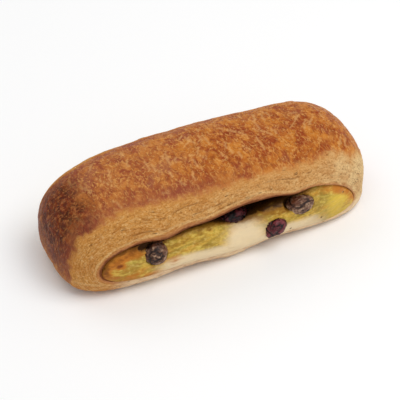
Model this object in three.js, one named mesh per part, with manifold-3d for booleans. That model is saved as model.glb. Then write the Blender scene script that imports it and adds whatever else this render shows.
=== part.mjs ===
// A baked pastry of folded croissant dough with custard and raisins, in millimetres.
// The dough is a flattened ring: its tunnel runs from the front mouth to the back mouth, and
// the custard fills that tunnel and shows at both. +X runs along the pastry, -Y is the front,
// +Z is up, and the origin is the middle of the resting face.

import * as THREE from "three";
import { mergeVertices } from "three/addons/utils/BufferGeometryUtils.js";
import Module from "manifold-3d";

const wasm = await Module();
wasm.setup();

// Driving dimensions
const length = 145;
const width = 59;
const height = 43;
const raisinSize = 10.4;
const gap = 0.5; // between the custard and its tunnel, and round each raisin

// The loaf's outer form: a larger power is squarer
const belly = 0.293 * height; // level at which the loaf is widest, midway along it
const bellyDrop = { left: 2.3, right: 6.6 }; // how far that level sinks to the ends
const planPower = 3.9;
const outlinePower = { left: 3.45, right: 4 };
const crownPower = 2.85;
const basePower = 9;
const footShare = 0.67; // depth of the resting face, as a share of the full depth
const press = 0.5; // the foot is pressed flat by this much

// The mouths: both lips are arches between the same two tips
const mouth = { middle: 1.3, half: 60, level: 10.8, tilt: -2.5 };
const lipRise = 14.7;
const lipDrop = 4.9;

// The tunnel between the mouths
const roofRise = 11;
const floorDrop = 5.6;
const swellRise = 1.4; // how far the custard swells into the dough midway
const flare = [0.35, 1]; // shares of the half depth between which the tunnel opens out

// The leaves of folded dough that show between a lip and the crust
const leaves = 6.5;
const leafHeight = 0.3;

// Facets
const ringSteps = 78;
const sectionSteps = 54;
const custardSteps = { along: 40, around: 28 };
const raisinSteps = { along: 9, around: 14 };

// Where each raisin lies, how far it is turned, and its share of the usual size. The first
// four show in the front mouth, the others in the back one.
const raisins = [
  { at: [-35, -25.6, 17], turn: 20, size: [1.02, 0.9, 0.9] },
  { at: [33.2, -25.5, 17.5], turn: -2, size: [1.17, 0.84, 0.8] },
  { at: [20.3, -27.3, 11.6], turn: 20, size: [0.98, 0.82, 0.78] },
  { at: [4.4, -19, 16], turn: 8, size: [1.25, 0.9, 0.8] },
  { at: [-20.5, 25.5, 17], turn: -25, size: [1.1, 0.88, 0.88] },
  { at: [11.5, 27.2, 12.3], turn: 15, size: [0.98, 0.84, 0.86] },
  { at: [40.5, 24.8, 16.6], turn: 60, size: [1.04, 0.9, 0.9] },
];

const looks = {
  dough: { color: "#b9723c", roughness: 0.6 },
  custard: { color: "#d2b04b", roughness: 0.35 },
  raisin: { color: "#5a3c2e", roughness: 0.5 },
};

// Plain measures of a number
const clamp = (value, low, high) => Math.min(high, Math.max(low, value));
const mix = (from, to, share) => from + (to - from) * share;
const radians = (degrees) => (degrees * Math.PI) / 180;

function smooth(value, from, to) {
  const share = clamp((value - from) / (to - from), 0, 1);
  return share * share * (3 - 2 * share);
}

// A round hump of height 1 at a place.
const hump = (value, place, half) => Math.exp(-(((value - place) / half) ** 2));

// An arch of height 1 over the span -1 to 1.
const arch = (value, power, root = power) =>
  (1 - Math.min(1, Math.abs(value)) ** power) ** (1 / root);

// Level at which the loaf is widest: its ends sag, the right one more.
const bellyAt = (x) =>
  belly - bellyDrop.right * smooth(x, 25, 72) - bellyDrop.left * smooth(-x, 25, 72);

// The loaf's outline over x as seen from the front, and half its depth as seen from above.
function outlineTop(x) {
  const sway = 1.1 * hump(x, 56, 10) - 1.8 * hump(x, 34, 16);
  const power = x < 0 ? outlinePower.left : outlinePower.right;
  return bellyAt(x) + (height - bellyAt(x) + sway) * arch(x / (length / 2), power);
}

const outlineBottom = (x) => bellyAt(x) * (1 - arch(x / (length / 2), basePower, 3));
const halfDepth = (x) => (width / 2) * arch(x / (length / 2), planPower);

// Depth of the resting face as a share of the full depth: the foot wavers along each side,
// and is fuller at the right end.
function footAt(x, y) {
  const place = y < 0 ? x : -x;
  const wave = 0.08 * hump(place, 0, 9) - 0.15 * hump(place, -22, 12) - 0.15 * hump(place, 23, 9);
  return footShare + wave + 0.18 * smooth(x, 35, 65);
}

// Half the loaf's depth at a place of its outline, on the side that y is on.
function depthAt(x, z, y) {
  const level = bellyAt(x);
  if (z >= level) {
    const share = (z - level) / Math.max(outlineTop(x) - level, 0.01);
    return halfDepth(x) * arch(share, crownPower);
  }
  const share = (level - z) / Math.max(level - outlineBottom(x), 0.01);
  return halfDepth(x) * mix(footAt(x, y), 1, arch(share, 2.2));
}

// How far the front lips depart from plain arches; the back lips turn these end for end.
const lipWave = (x) => 2.85 * smooth(x, -15, 7) - 2.2 * hump(x, -30.5, 7) - 1.6 * hump(x, 27, 6);
const sillWave = (x) => 1.9 * hump(x, 30, 12) + 1.6 * hump(x, -23, 13);

const mouthShare = (x) => (x - mouth.middle) / mouth.half;
const tipLevel = (x) => mouth.level + mouth.tilt * mouthShare(x);

// Height of the mouth's upper or lower lip over x, on the side that y is on.
function lipHeight(x, upper, y) {
  const place = y < 0 ? x : -x;
  const share = mouthShare(x);
  if (upper) {
    const end = place < 0 ? arch(share, 4, 2.3) : arch(share, 4.8, 1.6);
    return tipLevel(x) + (lipRise + lipWave(place)) * end;
  }
  return tipLevel(x) - (lipDrop - sillWave(place)) * arch(share, place < 0 ? 12 : 5, 1.5);
}

// Height of the tunnel's roof or floor at any depth. The custard swells into the dough midway,
// and the tunnel opens out to the lips.
function wallHeight(x, upper, y) {
  const share = mouthShare(x);
  const swell = swellRise * hump(y, 0, 9) * arch(share, 4, 1);
  const midway = upper
    ? (roofRise - 1.5 * hump(x, 0, 26)) * arch(share, 6, 2) + swell
    : -floorDrop * arch(share, 6, 1.5) - swell / 2;
  const lip = lipHeight(x, upper, y);
  const open = smooth(Math.abs(y) / depthAt(x, lip, y), ...flare);
  return mix(tipLevel(x) + midway, lip, open);
}

// The loaf's outline and the mouth's line as closed curves, turning from the right end.
function outlineCurve(turn) {
  const x = (length / 2) * Math.cos(turn);
  return Math.sin(turn) >= 0
    ? [x, outlineTop(x)]
    : [x, outlineBottom(x) - press * arch(Math.cos(turn), basePower)];
}

function mouthCurve(turn) {
  const x = mouth.middle + mouth.half * Math.cos(turn);
  return [x, lipHeight(x, Math.sin(turn) >= 0, -1)];
}

// Stops along a path, spaced by its length and density. A closed path also runs from its last
// point back to its first.
function evenStops(path, count, density = path.map(() => 1), closed = false) {
  const after = (k) => (k + 1) % path.length;
  const lengths = path.slice(0, closed ? path.length : -1).map((point, k) => {
    const step = Math.hypot(...point.map((value, axis) => path[after(k)][axis] - value));
    return (step * (density[k] + density[after(k)])) / 2;
  });
  const total = lengths.reduce((sum, step) => sum + step, 0);
  let index = 0;
  let walked = 0;
  return Array.from({ length: count }, (_, k) => {
    const target = (total * k) / count;
    while (walked + lengths[index] < target) {
      walked += lengths[index];
      index += 1;
    }
    const share = (target - walked) / lengths[index];
    return path[index].map((value, axis) => mix(value, path[after(index)][axis], share));
  });
}

// Stops round a closed curve, with as many above its two ends as below them.
function ringStops(curve) {
  const fine = 400;
  return [0, Math.PI].flatMap((start) => {
    const path = Array.from({ length: fine + 1 }, (_, k) => {
      const share = clamp(k / fine, 1e-6, 1 - 1e-6);
      return curve(start + Math.PI * share);
    });
    return evenStops(path, ringSteps / 2);
  });
}

// How far the leaves stand proud of the cut side, from the lip outwards.
function leafRidge(share) {
  const band = smooth(share, 0.04, 0.2) * (1 - smooth(share, 0.55, 0.75));
  return leafHeight * Math.sin(2 * Math.PI * leaves * share) * band;
}

// Eases the corners of a closed run of stops.
const eased = (stops) =>
  stops.map((stop, k) => {
    const before = stops.at(k - 1);
    const after = stops[(k + 1) % stops.length];
    return stop.map((value, axis) => (before[axis] + 2 * value + after[axis]) / 4);
  });

// One section of the ring, at a place of the mouth and a place of the outline: over the
// outside from the front lip to the back lip, then home through the tunnel.
function section(lipX, [edgeX, edgeZ], upper) {
  const steps = 40;
  const path = [];
  const density = [];
  for (let k = -steps; k <= steps; k += 1) {
    const side = k < 0 ? -1 : 1;
    const share = Math.cos((Math.PI / 2) * (k / steps));
    const x = mix(lipX, edgeX, share);
    const z = mix(lipHeight(lipX, upper, side), edgeZ, share);
    path.push([x, side * (depthAt(x, z, side) + leafRidge(share)), z]);
    density.push(mix(2.1, 1, smooth(share, 0.6, 0.85)));
  }
  const front = -depthAt(lipX, lipHeight(lipX, upper, -1), -1);
  const back = depthAt(lipX, lipHeight(lipX, upper, 1), 1);
  for (let k = 1; k < steps; k += 1) {
    const y = mix(back, front, k / steps);
    path.push([lipX, y, wallHeight(lipX, upper, y)]);
    density.push(0.7);
  }
  return eased(evenStops(path, sectionSteps, density, true));
}

// Moves each vertex of a closed shape to the place that its u and v give.
function reshape(geometry, place) {
  const { position, uv } = geometry.attributes;
  for (let i = 0; i < position.count; i += 1) {
    position.setXYZ(i, ...place(uv.getX(i), uv.getY(i)));
  }
  geometry.deleteAttribute("normal");
  geometry.deleteAttribute("uv");
  return mergeVertices(geometry, 1e-3);
}

function doughShape() {
  const lips = ringStops(mouthCurve);
  const sections = ringStops(outlineCurve).map((edge, k) =>
    section(lips[k][0], edge, k < ringSteps / 2),
  );
  const ring = new THREE.TorusGeometry(2, 1, sectionSteps, ringSteps);
  return reshape(ring, (u, v) => {
    const column = Math.round(u * ringSteps) % ringSteps;
    const row = Math.round((1 - v) * sectionSteps) % sectionSteps;
    const [x, y, z] = sections[column][row];
    return [x, y, Math.max(z, 0)];
  });
}

// The custard's surface: u runs round it from the back edge, v from the left tip to the right.
// Under the raised part of each upper lip it has slumped away from the dough.
function custardPoint(u, v) {
  const along = 2 * v - 1;
  const turn = 2 * Math.PI * u;
  const across = Math.cos(turn);
  const closing = arch(along, 18);
  const x = mouth.middle + (mouth.half - 1.6) * Math.sin((Math.PI / 2) * along);
  const y = (halfDepth(x) - 0.5) * across * closing;
  const place = y < 0 ? x : -x;
  const slump = hump(place, 5, 12) + 0.2 * hump(place, 21, 8);
  const sag = 7.8 * slump * smooth(Math.abs(across), 0.3, 0.6);
  const floor = wallHeight(x, false, y) + gap;
  const top = Math.max(wallHeight(x, true, y) - gap - sag, floor);
  const flush = smooth(place, 26, 46);
  const rounding = arch(across, 7 - 2 * slump + 10 * flush, 2.6 + 1.5 * flush);
  const fullness = Math.sin(turn) < 0 ? 0 : rounding;
  return [x, y, mix(tipLevel(x), mix(floor, top, fullness), closing)];
}

function custardShape() {
  const ball = new THREE.SphereGeometry(1, custardSteps.around, custardSteps.along);
  return reshape(ball, (u, v) => custardPoint(u % 1, v));
}

// A shrunken raisin: a rounded lump with a few lengthwise folds, grown on request.
function raisinShape(seed, [long, deep, tall], grow = 0) {
  const ball = new THREE.SphereGeometry(1, raisinSteps.around, raisinSteps.along);
  return reshape(ball, (u, v) => {
    const turn = 2 * Math.PI * u;
    const lean = Math.PI * v;
    const folds = 0.07 * Math.sin(3 * turn + 2 * seed) + 0.05 * Math.sin(4 * turn - seed);
    const radius = (raisinSize / 2) * (1 + folds * Math.sin(lean)) + grow;
    return [
      long * radius * Math.cos(lean),
      deep * radius * Math.sin(lean) * Math.cos(turn),
      -tall * radius * Math.sin(lean) * Math.sin(turn),
    ];
  });
}

function toSolid(geometry) {
  return new wasm.Manifold(
    new wasm.Mesh({
      numProp: 3,
      vertProperties: new Float32Array(geometry.attributes.position.array),
      triVerts: new Uint32Array(geometry.index.array),
    }),
  );
}

function toGeometry(solid) {
  const { vertProperties, triVerts } = solid.getMesh();
  const geometry = new THREE.BufferGeometry();
  geometry.setAttribute("position", new THREE.BufferAttribute(vertProperties, 3));
  geometry.setIndex(new THREE.BufferAttribute(triVerts, 1));
  return geometry;
}

// The custard with a pocket round each raisin.
function pocketed(geometry) {
  const cut = raisins.reduce((solid, { at, turn, size }, seed) => {
    const place = new THREE.Matrix4().makeRotationZ(radians(turn)).setPosition(...at);
    return solid.subtract(toSolid(raisinShape(seed, size, gap).applyMatrix4(place)));
  }, toSolid(geometry));
  return toGeometry(cut);
}

function addMesh(parent, name, geometry, look) {
  geometry.computeVertexNormals();
  const material = new THREE.MeshStandardMaterial({ metalness: 0, ...look });
  const mesh = new THREE.Mesh(geometry, material);
  mesh.name = name;
  parent.add(mesh);
  return mesh;
}

const pastry = new THREE.Group();
addMesh(pastry, "dough", doughShape(), looks.dough);
addMesh(pastry, "custard", pocketed(custardShape()), looks.custard);

raisins.forEach(({ at, turn, size }, seed) => {
  const raisin = addMesh(pastry, `raisin_${seed + 1}`, raisinShape(seed, size), looks.raisin);
  raisin.position.set(...at);
  raisin.rotation.z = radians(turn);
});

export default pastry;
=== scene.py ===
"""A baked raisin custard pastry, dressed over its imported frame.

The dough, the custard and the raisins each have their own piece. Lengths inside the form
functions are in millimetres, as in the part's source; a piece's mesh is scaled to metres when
it is placed. The front mouth is on -Y.
"""

import math
import random

import bmesh
import bpy
import numpy as np
from mathutils import Matrix, Vector, kdtree, noise


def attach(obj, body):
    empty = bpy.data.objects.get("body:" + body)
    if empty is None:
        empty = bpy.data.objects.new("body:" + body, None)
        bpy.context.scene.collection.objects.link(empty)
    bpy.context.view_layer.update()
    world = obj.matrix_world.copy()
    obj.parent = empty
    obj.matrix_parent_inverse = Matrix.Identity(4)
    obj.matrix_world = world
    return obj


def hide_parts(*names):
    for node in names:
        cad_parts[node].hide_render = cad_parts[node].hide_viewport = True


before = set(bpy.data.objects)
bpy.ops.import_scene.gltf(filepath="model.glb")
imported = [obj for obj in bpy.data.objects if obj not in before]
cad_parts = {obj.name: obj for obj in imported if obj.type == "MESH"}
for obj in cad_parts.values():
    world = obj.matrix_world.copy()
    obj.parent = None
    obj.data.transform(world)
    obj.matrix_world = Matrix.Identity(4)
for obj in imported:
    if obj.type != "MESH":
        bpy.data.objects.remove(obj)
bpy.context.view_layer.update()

MM = 0.001

# Driving dimensions, the same as the part's own
LENGTH = 145
WIDTH = 59
HEIGHT = 43
RAISIN_SIZE = 10.4
GAP = 0.5

BELLY = 0.293 * HEIGHT
BELLY_DROP = {"left": 2.3, "right": 6.6}
PLAN_POWER = 3.9
OUTLINE_POWER = {"left": 3.45, "right": 4}
CROWN_POWER = 2.85
BASE_POWER = 9
FOOT_SHARE = 0.67
PRESS = 0.5

MOUTH_MIDDLE = 1.3
MOUTH_HALF = 60
MOUTH_LEVEL = 10.8
MOUTH_TILT = -2.5
LIP_RISE = 14.7
LIP_DROP = 4.9

ROOF_RISE = 11
FLOOR_DROP = 5.6
SWELL_RISE = 1.4
FLARE = (0.35, 1)

# How finely the pieces are modelled: the steps of a torus come in fours
RING_STEPS = 424
SECTION_STEPS = 216
CUSTARD_AROUND = 200
CUSTARD_ALONG = 260

# Where each raisin lies, how far it is turned, its share of the usual size, which way the
# custard gives way to it, and where it has a small knob
RAISINS = (
    {"at": (-35, -25.6, 17), "turn": 20, "size": (1.02, 0.9, 0.9), "sink": (0, 1, 0)},
    {"at": (33.2, -25.5, 18), "turn": -2, "size": (1.17, 0.84, 0.84), "sink": (0, 1, 0)},
    {"at": (20.3, -27.3, 11.6), "turn": 20, "size": (0.98, 0.82, 0.78), "sink": (0, 1, 0),
     "knob": (-0.74, -0.2, -0.64)},
    {"at": (4.4, -19, 16), "turn": 8, "size": (1.25, 0.9, 0.8), "sink": (0, 0, -1)},
    {"at": (-20.5, 25.5, 17), "turn": -25, "size": (1.1, 0.88, 0.88), "sink": (0, -1, 0)},
    {"at": (11.5, 27.2, 12.3), "turn": 15, "size": (0.98, 0.84, 0.86), "sink": (0, -1, 0)},
    {"at": (40.5, 24.8, 16.6), "turn": 60, "size": (1.04, 0.9, 0.9), "sink": (0, -1, 0)},
)

# Small hollows beside the raisins, where the custard has pulled away
HOLLOWS = (
    {"at": (-38.6, -26.6, 21.8), "turn": -12, "size": (0.9, 0.6, 0.36), "sink": (0, 1, 0)},
    {"at": (28, -25.8, 19.6), "turn": 0, "size": (0.62, 0.7, 0.62), "sink": (0, 1, 0)},
    {"at": (-26.5, 26.2, 19.8), "turn": 0, "size": (0.5, 0.5, 0.4), "sink": (0, -1, 0)},
)


# Where two leaves of the cut side have parted, by the distance from the lip
SEAMS = (
    {"at": 3.4, "from": -13, "to": 9},
    {"at": 5.6, "from": -22, "to": -2},
    {"at": 7.4, "from": 14, "to": 38},
    {"at": 5, "from": -44, "to": -30},
    {"at": 9.5, "from": -38, "to": -16},
)


# Plain measures of a number or an array

def mix(low, high, share):
    return low + (high - low) * share


def smooth(value, low, high):
    share = np.clip((value - low) / (high - low), 0, 1)
    return share * share * (3 - 2 * share)


def hump(value, place, half):
    return np.exp(-(((value - place) / half) ** 2))


def arch(value, power, root=None):
    return (1 - np.minimum(1, np.abs(value)) ** power) ** (1 / (power if root is None else root))


# The loaf's form

def belly_at(x):
    """Level at which the loaf is widest: its ends sag, the right one more."""
    sag_right = BELLY_DROP["right"] * smooth(x, 25, 72)
    sag_left = BELLY_DROP["left"] * smooth(-x, 25, 72)
    return BELLY - sag_right - sag_left


def outline_top(x):
    sway = 1.1 * hump(x, 56, 10) - 1.8 * hump(x, 34, 16)
    power = np.where(x < 0, OUTLINE_POWER["left"], OUTLINE_POWER["right"])
    return belly_at(x) + (HEIGHT - belly_at(x) + sway) * arch(x / (LENGTH / 2), power)


def outline_bottom(x):
    return belly_at(x) * (1 - arch(x / (LENGTH / 2), BASE_POWER, 3))


def half_depth(x):
    return (WIDTH / 2) * arch(x / (LENGTH / 2), PLAN_POWER)


def foot_at(x, y):
    """Depth of the resting face as a share of the full depth: it wavers along each side."""
    place = np.where(y < 0, x, -x)
    dips = 0.15 * hump(place, -22, 12) + 0.15 * hump(place, 23, 9)
    return FOOT_SHARE + 0.08 * hump(place, 0, 9) - dips + 0.18 * smooth(x, 35, 65)


def depth_at(x, z, y):
    level = belly_at(x)
    above = (z - level) / np.maximum(outline_top(x) - level, 0.01)
    below = (level - z) / np.maximum(level - outline_bottom(x), 0.01)
    upper = arch(np.clip(above, 0, 1), CROWN_POWER)
    lower = mix(foot_at(x, y), 1, arch(np.clip(below, 0, 1), 2.2))
    return half_depth(x) * np.where(z >= level, upper, lower)


def mouth_share(x):
    return np.clip((x - MOUTH_MIDDLE) / MOUTH_HALF, -1, 1)


def tip_level(x):
    return MOUTH_LEVEL + MOUTH_TILT * (x - MOUTH_MIDDLE) / MOUTH_HALF


def lip_wave(x):
    return 2.85 * smooth(x, -15, 7) - 2.2 * hump(x, -30.5, 7) - 1.7 * hump(x, 29.5, 7)


def sill_wave(x):
    return 1.9 * hump(x, 30, 12) + 1.6 * hump(x, -23, 13)


def lip_height(x, upper, y):
    place = np.where(y < 0, x, -x)
    share = mouth_share(x)
    if upper:
        end = np.where(place < 0, arch(share, 4, 2.3), arch(share, 4.8, 1.6))
        return tip_level(x) + (LIP_RISE + lip_wave(place)) * end
    end = np.where(place < 0, arch(share, 12, 1.5), arch(share, 5, 1.5))
    return tip_level(x) - (LIP_DROP - sill_wave(place)) * end


def wall_height(x, upper, y):
    share = mouth_share(x)
    swell = SWELL_RISE * hump(y, 0, 9) * arch(share, 4, 1)
    if upper:
        midway = (ROOF_RISE - 1.5 * hump(x, 0, 26)) * arch(share, 6, 2) + swell
    else:
        midway = -FLOOR_DROP * arch(share, 6, 1.5) - swell / 2
    lip = lip_height(x, upper, y)
    opening = smooth(np.abs(y) / np.maximum(depth_at(x, lip, y), 0.01), *FLARE)
    return mix(tip_level(x) + midway, lip, opening)


# Even stops along curves

def stops_along(path, density, count):
    """Positions along a path, as fractional indices, spaced by its length and density."""
    steps = np.linalg.norm(np.diff(path, axis=0), axis=1)
    walked = np.concatenate([[0], np.cumsum(steps * (density[1:] + density[:-1]) / 2)])
    targets = np.linspace(0, walked[-1], count, endpoint=False)
    return np.interp(targets, walked, np.arange(len(path)))


def pick(values, stops):
    """The rows of an array at fractional indices."""
    low = np.floor(stops).astype(int)
    high = np.minimum(low + 1, len(values) - 1)
    share = (stops - low).reshape(-1, *[1] * (values.ndim - 1))
    return mix(values[low], values[high], share)


def ring_stops(curve):
    """Stops round a closed curve, with as many above its two ends as below them."""
    halves = []
    for upper in (True, False):
        turn = np.linspace(1e-6, math.pi - 1e-6, 1600)
        path = curve(turn if upper else turn + math.pi, upper)
        stops = stops_along(path, np.ones(len(path)), RING_STEPS // 2)
        halves.append(pick(path, stops))
    return np.concatenate(halves)


def outline_curve(turn, upper):
    x = (LENGTH / 2) * np.cos(turn)
    lower = outline_bottom(x) - PRESS * arch(np.cos(turn), BASE_POWER)
    return np.stack([x, outline_top(x) if upper else lower], axis=1)


def mouth_curve(turn, upper):
    x = MOUTH_MIDDLE + MOUTH_HALF * np.cos(turn)
    return np.stack([x, lip_height(x, upper, -np.ones_like(x))], axis=1)


# Noise over places

def noise_at(places, size, seed=0, octaves=2):
    """Smooth noise of about -1 to 1, with features of the given size in millimetres."""
    shift = Vector((37.1, 11.7, 5.3)) * seed
    flat = np.asarray(places).reshape(-1, 3)
    scale = 1 / np.broadcast_to(size, 3)
    values = [
        noise.fractal(Vector(place) + shift, 0.8, 2.1, octaves) for place in (flat * scale)
    ]
    return np.array(values).reshape(np.asarray(places).shape[:-1])


# The dough

def dough_sections():
    """Places of the dough's ring, with the way walked to each of them from the lip.

    Both arrays run round the ring and then round its section. The way is negative inside
    the tunnel.
    """
    lips = ring_stops(mouth_curve)
    edges = ring_stops(outline_curve)
    turn = np.linspace(-math.pi / 2, math.pi / 2, 241)
    share = np.cos(turn)
    side = np.where(turn < 0, -1.0, 1.0)
    inward = np.linspace(0, 1, 122)[1:-1]
    places = []
    distances = []
    for k, ((lip_x, _), (edge_x, edge_z)) in enumerate(zip(lips, edges)):
        upper = k < RING_STEPS // 2
        x = mix(lip_x, edge_x, share)
        z = mix(lip_height(lip_x, upper, side), edge_z, share)
        outside = np.stack([x, side * depth_at(x, z, side), z], axis=1)
        back, front = outside[-1, 1], outside[0, 1]
        y = mix(back, front, inward)
        inside = np.stack([np.full_like(y, lip_x), y, wall_height(lip_x, upper, y)], axis=1)
        path = np.concatenate([outside, inside, outside[:1]])
        steps = np.linalg.norm(np.diff(path, axis=0), axis=1)
        walked = np.concatenate([[0], np.cumsum(steps)])
        middle, end = walked[120], walked[240]
        out_distance = np.minimum(walked[:241], end - walked[:241])
        in_distance = -np.minimum(walked[241:] - end, walked[-1] - walked[241:])
        distance = np.concatenate([out_distance, in_distance])
        crown = np.clip(out_distance / max(middle, 0.01), 0, 1)
        out_density = mix(2.2, 1.1, smooth(crown, 0.45, 0.7))
        in_density = mix(1.6, 0.3, smooth(-in_distance, 3, 12))
        density = np.concatenate([out_density, in_density])
        stops = stops_along(path, density, SECTION_STEPS)
        places.append(pick(path, stops))
        distances.append(pick(distance, stops))
    places = np.array(places)
    for _ in range(16):
        neighbours = np.roll(places, 1, axis=1) + np.roll(places, -1, axis=1)
        places = (neighbours + 2 * places) / 4
    return places, np.array(distances)


def surface_normals(places):
    along = np.roll(places, -1, axis=0) - np.roll(places, 1, axis=0)
    across = np.roll(places, -1, axis=1) - np.roll(places, 1, axis=1)
    normals = np.cross(along, across)
    return normals / np.maximum(np.linalg.norm(normals, axis=2, keepdims=True), 1e-9)


def crust_depth(x):
    """How far forward the browned crust reaches before it gives way to the cut side."""
    return 17.4 + 4.2 * smooth(x, -55, -8) - 1.8 * smooth(x, 22, 58) - 7 * smooth(x, 60, 71)


def rim_share(place, distances):
    """How far each place lies into the browned rim of the upper lip: 0 at its edge, 1 at the lip."""
    width = 1.4 + 1.1 * hump(place, -28, 8) + 0.7 * hump(place, 12, 6) - 0.5 * hump(place, 25, 4)
    width = width + 0.8 * smooth(place, 35, 50)
    paler = 0.35 * smooth(place, 24, 32) + 0.35 * smooth(place, 34, 46)
    return np.clip(1 - (distances - 0.6) / width, -1, 1.4) - paler


def vein_paths(places, distances, count, seed):
    """Short wandering lines over the crust, as lists of places."""
    rng = random.Random(seed)
    rings, rows = distances.shape
    paths = []
    while len(paths) < count:
        ring = rng.uniform(0, rings)
        row = rng.uniform(0, rows)
        here = places[int(ring), int(row)]
        if distances[int(ring), int(row)] < 16 or here[2] < 12:
            continue
        heading = rng.gauss(math.pi / 2, 0.5)
        length = rng.uniform(2.5, 8)
        path = []
        for _ in range(int(length / 0.35)):
            spot = places[int(ring) % rings, int(row) % rows]
            path.append(spot)
            heading += rng.gauss(0, 0.09)
            ring += 0.35 / 0.8 * math.cos(heading)
            row += 0.35 / 0.55 * math.sin(heading)
        paths.append(np.array(path))
    return paths


def nearest(places, targets):
    """Distance from each place to the nearest of the targets."""
    tree = kdtree.KDTree(len(targets))
    for index, target in enumerate(targets):
        tree.insert(target, index)
    tree.balance()
    gaps = [tree.find(place)[2] for place in places.reshape(-1, 3)]
    return np.array(gaps).reshape(places.shape[:-1])


def lip_distances(places, walked):
    """Distance of each place from the lip on its own side, negative inside the tunnel."""
    distances = walked.copy()
    for side in (-1, 1):
        own = side * places[..., 1] > 0
        lip_rows = np.argmin(np.where(own, np.abs(walked), np.inf), axis=1)
        lips = places[np.arange(len(places)), lip_rows]
        outside = own & (walked > 0)
        distances[outside] = nearest(places[outside], lips)
    return distances


def dough_relief(places, distances, marks):
    """How far each place of the dough stands out, in millimetres."""
    crust, cut, inside = marks["crust"], marks["cut"], marks["inside"]
    place = np.where(places[..., 1] < 0, places[..., 0], -places[..., 0])
    blisters = 0.30 * noise_at(places, 9, seed=1) + 0.13 * noise_at(places, 3.2, seed=2)
    leaf_places = leaf_coordinates(places, distances)
    leaves = noise_at(leaf_places, (1.1, 1.1, 1.3), seed=3, octaves=2)
    fine_leaves = noise_at(leaf_places, (0.4, 0.4, 0.6), seed=4, octaves=1)
    swell = noise_at(places, 14, seed=5, octaves=1)
    step = 0.22 * smooth(marks["crust_edge"], -0.6, 0.8)
    lip_roll = 0.4 * hump(distances, 0.9, 1.1) * (1 - smooth(place, 34, 46))
    return (
        crust * (blisters + step + 0.2 * marks["veins"])
        + cut * (0.2 * leaves + 0.12 * fine_leaves + 0.3 * swell + lip_roll - 0.4 * marks["seam"])
        + inside * 0.3 * swell
    )


def leaf_coordinates(places, distances):
    """Coordinates in which the leaves of dough lie flat: two round the ring, one from the lip."""
    rings = distances.shape[0]
    turn = 2 * math.pi * np.arange(rings)[:, None] / rings
    radius = 9
    side = np.where(places[..., 1] < 0, 0, 30)
    ones = np.ones_like(distances)
    return np.stack(
        [radius * np.cos(turn) * ones, radius * np.sin(turn) * ones, distances + side], axis=2
    )


def dough_marks(places, distances):
    """Masks and depths that the dough's shape and its material share."""
    x, y, z = np.moveaxis(places, 2, 0)
    restless = 1.2 + 1.6 * smooth(np.abs(x), 56, 68)
    wander = restless * noise_at(places, 9, seed=11) + 0.45 * noise_at(places, 2.8, seed=12)
    crust_edge = crust_depth(x) - np.abs(y) + wander
    inside = 1 - smooth(distances, -0.6, 0.4)
    crust = smooth(crust_edge, -0.3, 0.5) * (1 - inside)
    paths = vein_paths(places, distances, 100, seed=5)
    veins = hump(nearest(places, np.concatenate(paths)), 0, 0.3) * crust
    place = np.where(y < 0, x, -x)
    lift = z - tip_level(x)
    lower = smooth(distances, 13, 6) * (1 - smooth(lift, -3, 0.5))
    rim_fade = smooth(lift, mix(-3, -7, smooth(-place, 46, 54)), mix(0.5, -3, smooth(-place, 46, 54)))
    breaks = smooth(noise_at(places, (3, 3, 1.5), seed=13), -0.3, 0.15)
    seams = sum(
        hump(distances, seam["at"], 0.26) * smooth(place, seam["from"] - 2, seam["from"])
        * (1 - smooth(place, seam["to"], seam["to"] + 2))
        for seam in SEAMS
    )
    return {
        "crust_edge": crust_edge,
        "seam": seams * breaks * (distances > 0),
        "inside": inside,
        "crust": crust,
        "cut": (1 - crust) * (1 - inside),
        "veins": veins,
        "rim": rim_share(place, distances) * rim_fade,
        "sill": lower * smooth(place, -58, -45),
        # painted shade: darkens the dough inside the tunnel
        "tunnel_shade": smooth(-distances, 0.6, 3) * (1 - 0.75 * smooth(place, 32, 44)),
    }


def torus_grid(rings, rows):
    """A torus mesh from a circle that is spun round, and each vertex's ring and row."""
    bm = bmesh.new()
    circle = bmesh.ops.create_circle(bm, segments=rows, radius=1)
    turned = Matrix.Translation((2, 0, 0)) @ Matrix.Rotation(math.pi / 2, 4, "X")
    bmesh.ops.transform(bm, matrix=turned, verts=circle["verts"])
    bmesh.ops.spin(
        bm,
        geom=bm.edges[:],
        axis=(0, 0, 1),
        cent=(0, 0, 0),
        dvec=(0, 0, 0),
        angle=2 * math.pi,
        steps=rings,
        use_merge=True,
    )
    bmesh.ops.remove_doubles(bm, verts=bm.verts[:], dist=1e-6)
    co = np.array([vert.co for vert in bm.verts])
    around = np.arctan2(co[:, 1], co[:, 0]) / (2 * math.pi)
    across = np.arctan2(co[:, 2], np.hypot(co[:, 0], co[:, 1]) - 2) / (2 * math.pi)
    ring = np.rint(around * rings).astype(int) % rings
    row = np.rint(across * rows).astype(int) % rows
    return bm, ring, row


def finish_mesh(bm, name, attributes=None):
    """Turns a bmesh into an object whose faces point outwards and shade smoothly."""
    bmesh.ops.recalc_face_normals(bm, faces=bm.faces[:])
    if bm.calc_volume(signed=True) < 0:
        bmesh.ops.reverse_faces(bm, faces=bm.faces[:])
    for face in bm.faces:
        face.smooth = True
    mesh = bpy.data.meshes.new(name)
    bm.to_mesh(mesh)
    bm.free()
    for key, values in (attributes or {}).items():
        vector = values.ndim == 2
        kind = "FLOAT_VECTOR" if vector else "FLOAT"
        layer = mesh.attributes.new(key, kind, "POINT")
        layer.data.foreach_set("vector" if vector else "value", values.astype(np.float32).ravel())
    piece = bpy.data.objects.new(name, mesh)
    bpy.context.scene.collection.objects.link(piece)
    return piece


def move_verts(bm, places):
    """Moves every vertex to its place, given in millimetres."""
    for vert, place in zip(bm.verts, places * MM):
        vert.co = place


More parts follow.
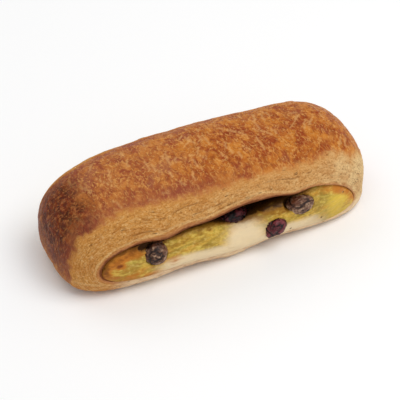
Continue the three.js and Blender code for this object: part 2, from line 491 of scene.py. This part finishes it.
def make_dough():
    places, walked = dough_sections()
    distances = lip_distances(places, walked)
    marks = dough_marks(places, distances)
    relief = dough_relief(places, distances, marks)
    base = smooth(places[..., 2], 0.3, 2.5)
    places = places + surface_normals(places) * (relief * base)[..., None]
    places[..., 2] = np.maximum(places[..., 2], 0)
    bm, ring, row = torus_grid(RING_STEPS, SECTION_STEPS)
    move_verts(bm, places[ring, row])
    leaves = leaf_coordinates(places, distances)
    attributes = {
        "crust_edge": marks["crust_edge"][ring, row],
        "lip_distance": distances[ring, row],
        "veins": marks["veins"][ring, row],
        "seam": marks["seam"][ring, row],
        "rim": marks["rim"][ring, row],
        "sill": marks["sill"][ring, row],
        "tunnel_shade": marks["tunnel_shade"][ring, row],
        "leaf": leaves[ring, row],
    }
    return finish_mesh(bm, "pastry_dough", attributes)


# The custard

def sphere_grid(around, along):
    """A sphere mesh, and each vertex's share of the turn and of the way between its poles."""
    bm = bmesh.new()
    bmesh.ops.create_uvsphere(bm, u_segments=around, v_segments=along, radius=1)
    co = np.array([vert.co for vert in bm.verts])
    turn = np.arctan2(co[:, 1], co[:, 0]) / (2 * math.pi)
    lean = 1 - np.arccos(np.clip(co[:, 2], -1, 1)) / math.pi
    u = (np.rint(turn * around) % around) / around
    v = np.rint(lean * along) / along
    return bm, u, v


def custard_places(u, v):
    """The custard's surface: it meets the lower lip, and slumps away under the upper one."""
    along = 2 * v - 1
    turn = 2 * math.pi * u
    across = np.cos(turn)
    closing = arch(along, 60)
    half = MOUTH_HALF + 0.3
    x = MOUTH_MIDDLE + half * np.sin((math.pi / 2) * along)
    y = (half_depth(x) - 0.3) * across * closing
    place = np.where(y < 0, x, -x)
    slump = hump(place, 5, 12) + 0.2 * hump(place, 21, 8)
    sag = 7.8 * slump * smooth(np.abs(across), 0.3, 0.6)
    clearance = 0.3 - 0.6 * smooth(place, 26, 44)
    floor = wall_height(x, False, y) - 0.3
    top = np.maximum(wall_height(x, True, y) - clearance - sag, floor)
    flush = 10 * smooth(place, 26, 46) + 30 * smooth(place, 41, 50) + 14 * smooth(-place, 46, 55)
    rounding = arch(across, 7 - 2 * slump + flush, 2.6 + 0.15 * flush)
    fullness = np.where(np.sin(turn) < -1e-9, 0, rounding)
    level = mix(tip_level(x), mix(floor, top, fullness), closing)
    reach = (depth_at(x, level, y) - 0.15) / np.maximum(half_depth(x) - 0.3, 0.01)
    return np.stack([x, y * np.minimum(1, reach), level], axis=1)


def edge_distances(places):
    """How far each place of the custard is from the edge of the mouth on its own side."""
    distances = np.zeros(len(places))
    x = MOUTH_MIDDLE + MOUTH_HALF * np.cos(np.linspace(0, math.pi, 800))
    for side in (-1, 1):
        own = side * places[:, 1] > 0
        edges = [
            np.stack([x, 0 * x, lip_height(x, upper, side * np.ones_like(x))], axis=1)
            for upper in (True, False)
        ]
        distances[own] = nearest(places[own] * (1, 0, 1), np.concatenate(edges))
    return distances


def custard_marks(places):
    """Where the custard is toasted, shaded by the lip, bright or pale."""
    x, y, z = places.T
    place = np.where(y < 0, x, -x)
    lip = lip_height(x, True, y)
    sill = lip_height(x, False, y)
    rise = np.clip((z - sill) / np.maximum(lip - sill, 0.5), 0, 1)
    below_lip, above_sill = lip - z, z - sill
    edge = edge_distances(places)
    left = smooth(-place, 26, 46)
    right = smooth(place, 34, 52)

    # Toasted along the tips, darkest at their very edge
    upper_edge = 1 - smooth(below_lip, 4, 10)
    left_edge = left * np.maximum(upper_edge, 0.34 + 0.3 * (1 - smooth(edge, 1.5, 4)))
    right_edge = 0.7 * right * (1 - smooth(below_lip, 2.5, 6))
    burnt = 1.25 * smooth(-place, 38, 50) * (1 - smooth(edge, 1, 2.6)) * smooth(rise, 0.2, 0.45)
    spots = (
        1.3 * np.exp(-(((place + 51.5) / 3.2) ** 2 + ((z - 16.6) / 2) ** 2))
        + 0.4 * np.exp(-(((place + 27) / 5) ** 2 + ((z - 13) / 3) ** 2))
        + 0.55 * np.exp(-(((place - 12) / 7) ** 2 + ((rise - 0.68) / 0.12) ** 2))
    )

    # Painted shade: darker deep inside the mouth, under the upper lip, and in the gap under the lip
    # between the middle raisins
    deep = smooth(half_depth(x) - np.abs(y), 3.5, 8)
    near_lip = 1 - smooth(below_lip, 1.4, 4.4) + 0.3 * (1 - smooth(below_lip, 5.5, 9.5))
    under_lip = near_lip * (1 - smooth(place, 28, 42)) * (1 - 0.55 * smooth(-place, 40, 48))
    gap_shade = 0.72 * hump(place, 19, 10) * smooth(rise, 0.38, 0.7)
    patch = 1.2 * np.exp(-(((place - 5.5) / 11) ** 2 + ((rise - 0.2) / 0.42) ** 2))
    margin = 0.95 * (1 - smooth(above_sill, 2.5, 8)) * smooth(place, -46, -25)
    margin = margin * (1 - 0.7 * smooth(place, 38, 50))
    bright = smooth(place, 39, 51) * (1 - smooth(rise, 0.65, 0.95)) + 0.38 * hump(place, -3, 6)
    return {
        "toast": np.clip(np.maximum.reduce([left_edge, right_edge, spots, burnt]), 0, 1.3),
        "shade": np.clip(deep + under_lip + gap_shade, 0, 1.2),
        "bright": np.clip(bright, 0, 1),
        "cream": np.clip(np.maximum(patch, margin), 0, 1),
    }


def make_way(places, lump):
    """Moves the custard's surface out of a raisin or a hollow, and raises a small rim.

    It also tells where the custard was moved.
    """
    turn = math.radians(lump["turn"])
    spin = np.array(Matrix.Rotation(turn, 3, "Z"))
    half = np.array(lump["size"]) * RAISIN_SIZE / 2
    sink = np.array(lump["sink"], float)
    local = (places - np.array(lump["at"])) @ spin / half
    push = sink @ spin / half
    radius = np.linalg.norm(local, axis=1)
    toward = local @ push
    size = push @ push
    inner = np.maximum(toward**2 - size * (radius**2 - 1), 0)
    travel = np.where(radius < 1, (-toward + np.sqrt(inner)) / size, 0)
    rim = np.where(radius >= 1, 0.25 * np.exp(-(((radius - 1) / 0.2) ** 2)), 0)
    return places + sink * (travel - rim)[:, None], 1 - smooth(radius, 0.9, 1.1)


def make_custard():
    bm, u, v = sphere_grid(CUSTARD_AROUND, CUSTARD_ALONG)
    places = custard_places(u, v)
    front = np.abs(places[:, 1]) > 12
    ripple = 0.28 * noise_at(places, (9, 7, 4), seed=21) + 0.06 * noise_at(places, 2.4, seed=22)
    side = np.sign(places[:, 1])
    places[:, 1] += side * ripple * front
    places[:, 2] += 0.6 * ripple * front
    marks = custard_marks(places)
    for raisin in RAISINS:
        places, _ = make_way(places, raisin)
    for hollow in HOLLOWS:
        places, moved = make_way(places, hollow)
        # Painted shade fills each hollow
        marks["shade"] = np.maximum(marks["shade"], 1.3 * moved)
    move_verts(bm, places)
    return finish_mesh(bm, "custard_filling", marks)


# The raisins

def make_raisin(index, raisin):
    """A plumped raisin: folds run lengthwise from the dimple where its stalk was."""
    bm = bmesh.new()
    bmesh.ops.create_icosphere(bm, subdivisions=6, radius=1)
    out = np.array([vert.co for vert in bm.verts])
    nx, ny, nz = out.T
    turn = np.arctan2(-nz, ny)
    lean = np.hypot(ny, nz)
    broad = 0.07 * np.sin(3 * turn + 2 * index) + 0.05 * np.sin(4 * turn - index)
    folds = 1 - np.exp(-np.abs(noise_at(out, (1.5, 0.75, 0.75), 31 + index, 1)) / 0.2)
    wrinkles = 1 - np.exp(-np.abs(noise_at(out, (0.6, 0.34, 0.34), 51 + index, 2)) / 0.25)
    dimple = 0.2 * np.exp(-(((1 - nx) / 0.06) ** 2))
    toward_knob = out @ np.array(raisin.get("knob", (0, 0, 0)))
    knob = 0.34 * np.exp((np.minimum(toward_knob, 1) - 1) / 0.045)
    radius = 0.92 + broad * lean + 0.13 * folds + 0.07 * wrinkles - dimple + knob
    places = out * (radius * RAISIN_SIZE / 2)[:, None] * np.array(raisin["size"])
    turned = Matrix.Translation(raisin["at"]) @ Matrix.Rotation(math.radians(raisin["turn"]), 4, "Z")
    spin = np.array(turned.to_3x3())
    move_verts(bm, places @ spin.T + np.array(raisin["at"]))
    attributes = {"ridge": 0.65 * folds + 0.35 * wrinkles - 2 * dimple}
    return finish_mesh(bm, f"raisin_{index + 1}_skin", attributes)


# Node helpers

def colour(code):
    """A hex colour as the linear values that nodes use."""
    channels = [int(code[k:k + 2], 16) / 255 for k in (0, 2, 4)]
    linear = [c / 12.92 if c <= 0.04045 else ((c + 0.055) / 1.055) ** 2.4 for c in channels]
    return (*linear, 1)


def add(tree, kind, inputs=None, **settings):
    """A node with its settings made and its inputs set or linked."""
    made = tree.nodes.new(kind)
    for key, value in settings.items():
        setattr(made, key, value)
    for key, value in (inputs or {}).items():
        if isinstance(value, bpy.types.NodeSocket):
            tree.links.new(value, made.inputs[key])
        else:
            made.inputs[key].default_value = value
    return made


def maths(tree, operation, a, b=0.0):
    return add(tree, "ShaderNodeMath", {0: a, 1: b}, operation=operation).outputs[0]


def step_between(tree, value, low, high, smoothed=True):
    """A mask that rises from 0 to 1 as the value goes from low to high."""
    kind = "SMOOTHSTEP" if smoothed else "LINEAR"
    inputs = {"Value": value, "From Min": low, "From Max": high}
    return add(tree, "ShaderNodeMapRange", inputs, interpolation_type=kind).outputs["Result"]


def blend(tree, factor, a, b, way="MIX"):
    inputs = {"Factor": factor, 6: a, 7: b}
    return add(tree, "ShaderNodeMix", inputs, data_type="RGBA", blend_type=way).outputs[2]


def share_of(tree, mask, most, base, code):
    """Lays a colour over another, at most by a share, where the mask is 1."""
    return blend(tree, maths(tree, "MULTIPLY", mask, most), base, colour(code))


def number_between(tree, factor, a, b):
    """A number between two others."""
    inputs = {"Factor": factor, 2: a, 3: b}
    return add(tree, "ShaderNodeMix", inputs, data_type="FLOAT").outputs[0]


def noise_node(tree, vector, scale, detail=3.0, distortion=0.0, roughness=0.55):
    inputs = {
        "Vector": vector,
        "Scale": scale,
        "Detail": detail,
        "Roughness": roughness,
        "Distortion": distortion,
    }
    return add(tree, "ShaderNodeTexNoise", inputs).outputs["Fac"]


def stretched(tree, vector, scale):
    return add(tree, "ShaderNodeMapping", {"Vector": vector, "Scale": scale}).outputs["Vector"]


def attribute(tree, name, output="Fac"):
    return add(tree, "ShaderNodeAttribute", attribute_name=name).outputs[output]


def new_group(name, sockets):
    """A shader node group with its input and output sockets made."""
    tree = bpy.data.node_groups.new(name, "ShaderNodeTree")
    for label, way, kind, value in sockets:
        socket = tree.interface.new_socket(label, in_out=way, socket_type=f"NodeSocket{kind}")
        if value is not None:
            socket.default_value = value
    entry = tree.nodes.new("NodeGroupInput")
    end = tree.nodes.new("NodeGroupOutput")
    return tree, entry, end


def use_group(tree, group, inputs):
    made = tree.nodes.new("ShaderNodeGroup")
    made.node_tree = group
    for key, value in inputs.items():
        if isinstance(value, bpy.types.NodeSocket):
            tree.links.new(value, made.inputs[key])
        else:
            made.inputs[key].default_value = value
    return made


def new_material(name):
    material = bpy.data.materials.new(name)
    material.use_nodes = True
    tree = material.node_tree
    tree.nodes.clear()
    shader = tree.nodes.new("ShaderNodeBsdfPrincipled")
    end = tree.nodes.new("ShaderNodeOutputMaterial")
    tree.links.new(shader.outputs["BSDF"], end.inputs["Surface"])
    return material, tree, shader


def set_bump(tree, shader, height, distance):
    inputs = {"Height": height, "Distance": distance}
    made = add(tree, "ShaderNodeBump", inputs)
    tree.links.new(made.outputs["Normal"], shader.inputs["Normal"])


# Effects that more than one material uses

def make_mottle_group():
    """Blotches at two sizes: outputs a broad and a fine value, each about 0 to 1."""
    tree, entry, end = new_group("oven_mottle", (
        ("Vector", "INPUT", "Vector", None),
        ("Broad Scale", "INPUT", "Float", 90.0),
        ("Fine Scale", "INPUT", "Float", 420.0),
        ("Broad", "OUTPUT", "Float", None),
        ("Fine", "OUTPUT", "Float", None),
    ))
    place = entry.outputs["Vector"]
    broad = noise_node(tree, place, entry.outputs["Broad Scale"], 3.0, 0.6)
    fine = noise_node(tree, place, entry.outputs["Fine Scale"], 4.0, 0.4, 0.68)
    tree.links.new(step_between(tree, broad, 0.34, 0.66), end.inputs["Broad"])
    tree.links.new(step_between(tree, fine, 0.34, 0.66), end.inputs["Fine"])
    return tree


def make_pit_group():
    """Scattered small holes: a mask that is 1 in a hole."""
    tree, entry, end = new_group("small_pits", (
        ("Vector", "INPUT", "Vector", None),
        ("Scale", "INPUT", "Float", 300.0),
        ("Size", "INPUT", "Float", 0.2),
        ("Share", "INPUT", "Float", 0.3),
        ("Mask", "OUTPUT", "Float", None),
    ))
    inputs = {"Vector": entry.outputs["Vector"], "Scale": entry.outputs["Scale"]}
    cells = add(tree, "ShaderNodeTexVoronoi", inputs)
    size = entry.outputs["Size"]
    near = step_between(tree, cells.outputs["Distance"], size, maths(tree, "MULTIPLY", size, 0.45))
    chance = add(tree, "ShaderNodeSeparateColor", {0: cells.outputs["Color"]}).outputs[0]
    chosen = maths(tree, "LESS_THAN", chance, entry.outputs["Share"])
    tree.links.new(maths(tree, "MULTIPLY", near, chosen), end.inputs["Mask"])
    return tree


def make_fleck_group():
    """Short worm-like flecks: a mask that is 1 along each of them."""
    tree, entry, end = new_group("worm_flecks", (
        ("Vector", "INPUT", "Vector", None),
        ("Scale", "INPUT", "Float", 300.0),
        ("Width", "INPUT", "Float", 0.06),
        ("Mask", "OUTPUT", "Float", None),
    ))
    place = entry.outputs["Vector"]
    scale = entry.outputs["Scale"]
    waves = noise_node(tree, place, scale, 1.0, 0.4, 0.5)
    level = maths(tree, "ABSOLUTE", maths(tree, "SUBTRACT", waves, 0.5))
    line = step_between(tree, level, entry.outputs["Width"], 0.0)
    breaks = noise_node(tree, place, maths(tree, "MULTIPLY", scale, 1.6), 2.0)
    broken = maths(tree, "MULTIPLY", line, step_between(tree, breaks, 0.4, 0.6))
    tree.links.new(broken, end.inputs["Mask"])
    return tree


# Materials

def crust_colour(tree, place, x, z, blotch, flecks, streaks):
    """Browned crust: orange-brown with redder blotches, golden flecks and pale veins."""
    broad, fine = blotch.outputs["Broad"], blotch.outputs["Fine"]
    crust = blend(tree, broad, colour("c47628"), colour("9a4519"))
    crust = share_of(tree, step_between(tree, fine, 0.35, 0.0), 0.55, crust, "742f10")
    crust = share_of(tree, step_between(tree, fine, 0.6, 1.0), 0.55, crust, "d08a40")
    rosy = step_between(tree, noise_node(tree, place, 75.0, 2.0, 0.5), 0.54, 0.68)
    crust = share_of(tree, rosy, 0.4, crust, "945038")
    mauve = maths(tree, "MULTIPLY", step_between(tree, x, 0.0, -0.03),
                  number_between(tree, rosy, 0.6, 1.0))
    crust = share_of(tree, mauve, 0.36, crust, "955a48")
    golden = step_between(tree, noise_node(tree, place, 110.0, 2.0, 0.5), 0.56, 0.7)
    crust = share_of(tree, golden, 0.35, crust, "d0883a")
    crust = share_of(tree, flecks, 0.65, crust, "e0a25a")
    crust = share_of(tree, attribute(tree, "veins"), 0.5, crust, "e0aa6c")

    # The left end is darker: it caught more heat, and painted shade darkens it where it faces away
    # from the light
    patch = step_between(tree, noise_node(tree, place, 80.0, 3.0, 0.5), 0.3, 0.62)
    heat_and_shade = maths(tree, "MULTIPLY", step_between(tree, x, -0.050, -0.063),
                 number_between(tree, patch, 0.75, 1.0))
    heat_and_shade = maths(tree, "MULTIPLY", heat_and_shade, step_between(tree, z, 0.005, 0.014))
    dark = blend(tree, fine, colour("360b00"), colour("702402"))
    dark = share_of(tree, step_between(tree, z, 0.021, 0.012), 0.4, dark, "74402f")
    dark = share_of(tree, streaks, 0.6, dark, "b8733c")
    crust = blend(tree, maths(tree, "MULTIPLY", heat_and_shade, 0.92), crust, dark)

    # Paler where it turns under to the base
    return share_of(tree, step_between(tree, z, 0.011, 0.003), 0.75, crust, "bd8a50")


def cut_colour(tree, place, x, leaf, pits):
    """The cut side: thin leaves that follow the mouth, crumb, small pits and a browned lip."""
    crumb = noise_node(tree, place, 1200.0, 4.0, 0.4, 0.7)
    cloud = noise_node(tree, place, 150.0, 4.0, 0.4)
    lines = noise_node(tree, stretched(tree, leaf, (1.2, 1.2, 0.9)), 1.0, 3.0, 0.5, 0.6)
    hairlines = noise_node(tree, stretched(tree, leaf, (2.6, 2.6, 2.1)), 1.0, 3.0, 0.3, 0.6)
    cut = blend(tree, step_between(tree, x, -0.045, 0.03), colour("c98c45"), colour("d29c5e"))
    cut = blend(tree, step_between(tree, x, 0.035, 0.066), cut, colour("e2c18b"))
    cut = share_of(tree, step_between(tree, cloud, 0.46, 0.64), 0.45, cut, "b5702e")
    cut = share_of(tree, step_between(tree, lines, 0.5, 0.66), 0.3, cut, "a2682d")
    cut = share_of(tree, step_between(tree, lines, 0.47, 0.34), 0.25, cut, "e6bf84")
    cut = share_of(tree, step_between(tree, crumb, 0.48, 0.36), 0.6, cut, "84501f")
    cut = share_of(tree, step_between(tree, crumb, 0.53, 0.66), 0.42, cut, "f2d096")
    cut = share_of(tree, step_between(tree, hairlines, 0.46, 0.34), 0.4, cut, "84501f")
    cut = share_of(tree, step_between(tree, hairlines, 0.54, 0.66), 0.3, cut, "eac88e")
    cut = share_of(tree, attribute(tree, "sill"), 0.8, cut, "f6deb8")
    dashes = stretched(tree, leaf, (1.4, 1.4, 1.0))
    holes = use_group(tree, pits, {"Vector": dashes, "Scale": 0.75, "Size": 0.2, "Share": 0.3})
    holes = holes.outputs["Mask"]
    cut = share_of(tree, holes, 0.6, cut, "6f3f1a")
    cut = share_of(tree, attribute(tree, "seam"), 0.55, cut, "6a3a18")
    ragged = maths(tree, "MULTIPLY", maths(tree, "SUBTRACT", lines, 0.5), 1.4)
    rim = maths(tree, "ADD", attribute(tree, "rim"), ragged)
    # Painted highlight: a pale stripe just outside the browned rim, where the rolled lip catches light
    verge_highlight = maths(tree, "MULTIPLY", step_between(tree, rim, -0.9, -0.45),
                  step_between(tree, rim, 0.0, -0.35))
    cut = share_of(tree, verge_highlight, 0.25, cut, "f0cf96")
    cut = share_of(tree, step_between(tree, rim, -0.25, 0.5), 0.7, cut, "b4744a")
    cut = share_of(tree, step_between(tree, rim, 0.5, 1.05), 0.8, cut, "622a14")
    height = maths(tree, "ADD", lines, maths(tree, "MULTIPLY", hairlines, 0.7))
    height = maths(tree, "ADD", height, maths(tree, "MULTIPLY", crumb, 0.6))
    return cut, maths(tree, "SUBTRACT", height, holes)


def make_dough_material(mottle, pits, worms):
    material, tree, shader = new_material("baked_dough")
    place = add(tree, "ShaderNodeTexCoord").outputs["Object"]
    x, _, z = add(tree, "ShaderNodeSeparateXYZ", {0: place}).outputs
    leaf = attribute(tree, "leaf", "Vector")
    around = stretched(tree, place, (1.35, 0.85, 0.85))
    blotch = use_group(tree, mottle, {"Vector": around, "Broad Scale": 150.0, "Fine Scale": 380.0})
    flecks = use_group(tree, worms, {"Vector": around, "Scale": 420.0, "Width": 0.09})
    flecks = flecks.outputs["Mask"]
    upright = stretched(tree, place, (0.9, 0.9, 0.4))
    streaks = use_group(tree, worms, {"Vector": upright, "Scale": 560.0, "Width": 0.09})
    crust = crust_colour(tree, place, x, z, blotch, flecks, streaks.outputs["Mask"])
    cut, cut_height = cut_colour(tree, place, x, leaf, pits)

    # Crust over the cut side, with a ragged edge, and painted shade darkening the dough inside the
    # tunnel
    fray = maths(tree, "MULTIPLY", maths(tree, "SUBTRACT", blotch.outputs["Fine"], 0.5), 1.2)
    edge = maths(tree, "ADD", attribute(tree, "crust_edge"), fray)
    dusk = maths(tree, "MULTIPLY", step_between(tree, edge, 9.0, 0.5),
                 step_between(tree, x, 0.035, -0.01))
    crust = share_of(tree, dusk, 0.4, crust, "95503a")
    cut = share_of(tree, step_between(tree, edge, -4.0, 0.0), 0.45, cut, "cc8a42")
    crust_mask = step_between(tree, edge, -1.6, 1.2)
    whole = blend(tree, crust_mask, cut, crust)
    whole = share_of(tree, attribute(tree, "tunnel_shade"), 1.0, whole, "5e2d12")
    tree.links.new(whole, shader.inputs["Base Color"])

    tree.links.new(number_between(tree, crust_mask, 0.8, 0.5), shader.inputs["Roughness"])
    shader.inputs["Specular IOR Level"].default_value = 0.1
    crust_height = maths(tree, "ADD", maths(tree, "MULTIPLY", flecks, 0.4),
                         maths(tree, "MULTIPLY", blotch.outputs["Fine"], 0.6))
    set_bump(tree, shader, number_between(tree, crust_mask, cut_height, crust_height), 0.0004)
    return material


def make_custard_material(mottle, pits):
    """Baked custard: glossy yellow, toasted at its tips, pale where it is thickest."""
    material, tree, shader = new_material("baked_custard")
    place = add(tree, "ShaderNodeTexCoord").outputs["Object"]
    flowing = stretched(tree, place, (0.6, 1, 1.5))
    blotch = use_group(tree, mottle, {"Vector": flowing, "Broad Scale": 170.0, "Fine Scale": 400.0})
    streaks = noise_node(tree, flowing, 290.0, 4.0, 0.3, 0.62)
    warmth = noise_node(tree, flowing, 125.0, 4.0, 0.5)
    base = blend(tree, blotch.outputs["Broad"], colour("d0a440"), colour("a88a38"))
    base = share_of(tree, step_between(tree, streaks, 0.5, 0.68), 0.55, base, "846c28")
    base = share_of(tree, step_between(tree, streaks, 0.48, 0.34), 0.5, base, "e0c45c")
    base = share_of(tree, step_between(tree, warmth, 0.56, 0.68), 0.5, base, "cf8a30")
    curds = noise_node(tree, stretched(tree, place, (0.7, 1, 1)), 900.0, 3.0, 0.5, 0.6)
    base = share_of(tree, step_between(tree, curds, 0.5, 0.66), 0.45, base, "8a6e26")
    base = share_of(tree, step_between(tree, curds, 0.48, 0.34), 0.35, base, "ecd27c")
    ripple = maths(tree, "MULTIPLY", maths(tree, "SUBTRACT", streaks, 0.5), 1.4)
    bright = maths(tree, "ADD", attribute(tree, "bright"), ripple)
    base = share_of(tree, step_between(tree, bright, 0.2, 1.1), 0.75, base, "ecc84a")
    cream = maths(tree, "ADD", attribute(tree, "cream"), maths(tree, "MULTIPLY", ripple, 0.4))
    base = share_of(tree, step_between(tree, cream, 0.15, 0.95), 0.88, base, "f0d9b2")
    toast = maths(tree, "ADD", attribute(tree, "toast"), ripple)
    base = share_of(tree, step_between(tree, toast, 0.15, 0.8), 0.85, base, "bf6f20")
    base = share_of(tree, step_between(tree, toast, 0.8, 1.2), 0.85, base, "6c2c0c")
    shade = maths(tree, "ADD", attribute(tree, "shade"), ripple)
    # Painted shade: brown where the lip shades the custard, near black deeper in
    base = share_of(tree, step_between(tree, shade, 0.1, 0.6), 0.8, base, "8f5a14")
    base = share_of(tree, step_between(tree, shade, 0.6, 1.1), 0.9, base, "381c06")
    holes = use_group(tree, pits, {"Vector": place, "Scale": 260.0, "Size": 0.19, "Share": 0.22})
    base = share_of(tree, holes.outputs["Mask"], 0.7, base, "6a4514")
    tree.links.new(base, shader.inputs["Base Color"])
    rough = number_between(tree, blotch.outputs["Fine"], 0.35, 0.6)
    tree.links.new(rough, shader.inputs["Roughness"])
    shader.inputs["Specular IOR Level"].default_value = 0.15
    height = maths(tree, "SUBTRACT", maths(tree, "MULTIPLY", streaks, 0.8), holes.outputs["Mask"])
    set_bump(tree, shader, height, 0.0005)
    return material


def make_raisin_material(name, hollow, skin, bloom_and_highlight):
    """Raisin skin: painted shade darkens its folds; its ridges are lighter, with frost that is partly
    real bloom and partly painted highlight.
    """
    material, tree, shader = new_material(name)
    place = add(tree, "ShaderNodeTexCoord").outputs["Object"]
    ridge = attribute(tree, "ridge")
    grain = noise_node(tree, place, 700.0, 4.0, 0.3, 0.65)
    patches = noise_node(tree, place, 260.0, 3.0)
    fold_shade_and_grain = maths(tree, "ADD", ridge, maths(tree, "MULTIPLY", maths(tree, "SUBTRACT", grain, 0.5), 1.6))
    # Painted shade in the folds, from the fold depth and grain
    base = blend(tree, step_between(tree, fold_shade_and_grain, 0.1, 1.0), colour(hollow), colour(skin))
    # Frost on the ridges: partly real bloom, partly painted highlight
    frost_and_highlight = maths(tree, "MULTIPLY", step_between(tree, fold_shade_and_grain, 0.45, 1.1),
                  step_between(tree, patches, 0.4, 0.6))
    base = share_of(tree, frost_and_highlight, 0.9, base, bloom_and_highlight)
    tree.links.new(base, shader.inputs["Base Color"])
    tree.links.new(number_between(tree, patches, 0.2, 0.65), shader.inputs["Roughness"])
    shader.inputs["Specular IOR Level"].default_value = 0.35
    set_bump(tree, shader, grain, 0.0004)
    return material


# Floor, light and camera

def make_floor():
    bm = bmesh.new()
    bmesh.ops.create_grid(bm, x_segments=1, y_segments=1, size=3)
    floor = finish_mesh(bm, "studio_floor")
    material, tree, shader = new_material("studio_white")
    place = add(tree, "ShaderNodeTexCoord").outputs["Object"]
    tone = blend(tree, noise_node(tree, place, 2.0), colour("fafafa"), colour("fdfdfd"))
    tree.links.new(tone, shader.inputs["Base Color"])
    shader.inputs["Roughness"].default_value = 0.9
    shader.inputs["Specular IOR Level"].default_value = 0.0
    floor.data.materials.append(material)


def add_light(name, place, size, power, warmth=(1, 1, 1)):
    light = bpy.data.lights.new(name, "AREA")
    light.size = size
    light.energy = power
    light.color = warmth
    lamp = bpy.data.objects.new(name, light)
    lamp.location = place
    aim = Vector((0, 0, 0.02)) - Vector(place)
    lamp.rotation_euler = aim.to_track_quat("-Z", "Y").to_euler()
    bpy.context.scene.collection.objects.link(lamp)


def light_studio():
    world = bpy.data.worlds.new("studio")
    bpy.context.scene.world = world
    world.use_nodes = True
    backdrop = world.node_tree.nodes["Background"]
    backdrop.inputs["Color"].default_value = (1, 1, 1, 1)
    backdrop.inputs["Strength"].default_value = 0.6
    add_light("key", (0.30, -0.30, 0.85), 0.6, 4.2)
    add_light("back", (-0.2, 0.6, 0.7), 0.6, 1.0)
    bpy.context.scene.view_settings.view_transform = "Standard"


def place_camera():
    """The photograph's view: a long lens from the front left, looking down 40 degrees."""
    azimuth, elevation = math.radians(-26.5), math.radians(40)
    back = Vector((
        math.sin(azimuth) * math.cos(elevation),
        -math.cos(azimuth) * math.cos(elevation),
        math.sin(elevation),
    ))
    right = Vector((math.cos(azimuth), math.sin(azimuth), 0))
    up = back.cross(right)
    target = Vector((0, 0, 0.020))
    eye = target + back * 0.65
    aim = target - right * 0.00165 - up * 0.00564
    data = bpy.data.cameras.new("camera")
    data.sensor_width = 36
    data.lens = 135.9
    camera = bpy.data.objects.new("camera", data)
    camera.location = eye
    camera.rotation_euler = (aim - eye).to_track_quat("-Z", "Y").to_euler()
    bpy.context.scene.collection.objects.link(camera)
    bpy.context.scene.camera = camera


def dress(piece, material, slot, *nodes):
    """Gives a piece its material and its place in the frame."""
    piece.data.materials.append(material)
    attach(piece, "root")
    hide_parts(*nodes)


place_camera()
light_studio()
make_floor()

mottle = make_mottle_group()
pits = make_pit_group()
worms = make_fleck_group()
dress(make_dough(), make_dough_material(mottle, pits, worms), "crust", "dough")
dress(make_custard(), make_custard_material(mottle, pits), "custard", "custard")

# Each raisin: painted shade in the folds, its skin, and frost that is partly bloom and partly painted
# highlight
brown_raisin = make_raisin_material("brown_raisin", "190903", "683a22", "c4a384")
black_raisin = make_raisin_material("black_raisin", "0a0203", "541016", "8c4048")
for number, spec in enumerate(RAISINS):
    skin = black_raisin if number in (2, 3, 5) else brown_raisin
    dress(make_raisin(number, spec), skin, "raisin", f"raisin_{number + 1}")
